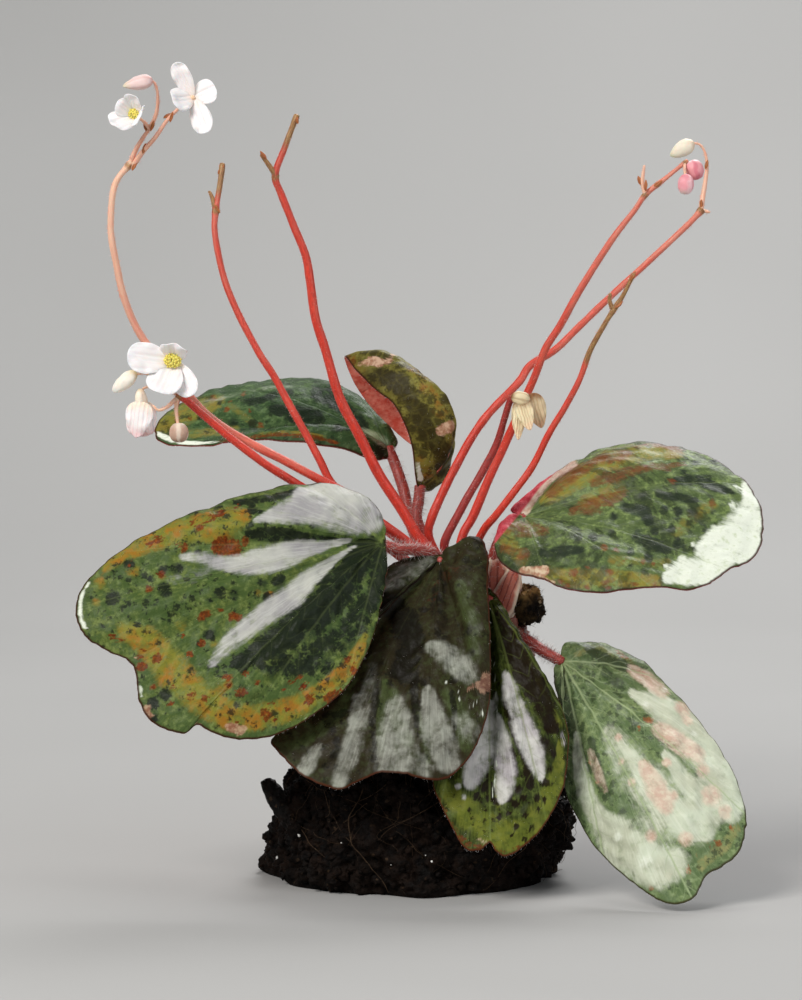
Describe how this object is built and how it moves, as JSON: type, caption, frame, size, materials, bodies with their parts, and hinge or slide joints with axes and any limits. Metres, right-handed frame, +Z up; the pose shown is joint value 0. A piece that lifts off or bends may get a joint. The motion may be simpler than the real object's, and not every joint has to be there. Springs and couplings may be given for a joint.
{
  "type": "flowering begonia plant with root ball",
  "caption": "Uprooted mottled-leaf begonia standing on its soil root ball, with hanging leaves, arching red flower stalks, white flowers, buds and spent tips.",
  "frame": {"origin": "middle of the flat patch of soil under the root ball, which the plant stands on", "axes": "+Z up, +X to the right and +Y away as seen from the front, where the largest leaf hangs to the left"},
  "size_m": [0.1667, 0.1235, 0.2014],
  "materials": {
    "blade": "satin hairy leaf, green mottled with silver, olive, rust and near black",
    "petiole": "dull red, hairy",
    "stalk": "coral red, finely hairy, tan at the tips",
    "petal": "soft white with a pink tint",
    "stamen": "matt yellow",
    "bud": "soft pink and cream",
    "husk": "dry straw",
    "rhizome": "striped red and cream, papery",
    "soil": "matt crumbly peat with threads of root and white grit",
    "bark": "matt black bark"
  },
  "bodies": {
    "root": {"stamens_2": "stamen", "stamens_3": "stamen", "flower_1": "petal", "flower_2": "petal", "flower_3": "petal", "flower_4": "petal", "bud_1": "bud", "bud_2": "bud", "bud_3": "bud", "bud_4": "bud", "bud_5": "bud", "bud_6": "bud", "dry_capsule": "husk", "leaf_1_blade": "blade", "leaf_1_petiole": "petiole", "leaf_2_blade": "blade", "leaf_2_petiole": "petiole", "leaf_3_blade": "blade", "leaf_3_petiole": "petiole", "leaf_4_blade": "blade", "leaf_4_petiole": "petiole", "leaf_5_blade": "blade", "leaf_5_petiole": "petiole", "leaf_6_blade": "blade", "leaf_6_petiole": "petiole", "leaf_7_blade": "blade", "leaf_7_petiole": "petiole", "stalk_1": "stalk", "stalk_2": "stalk", "stalk_3": "stalk", "stalk_4": "stalk", "stalk_5": "stalk", "stalk_6": "stalk", "stalk_7": "stalk", "stalk_8": "stalk", "rhizome": "rhizome", "crown_clod": "soil", "wood_chip": "bark", "root_ball": "soil"}
  },
  "joints": []
}
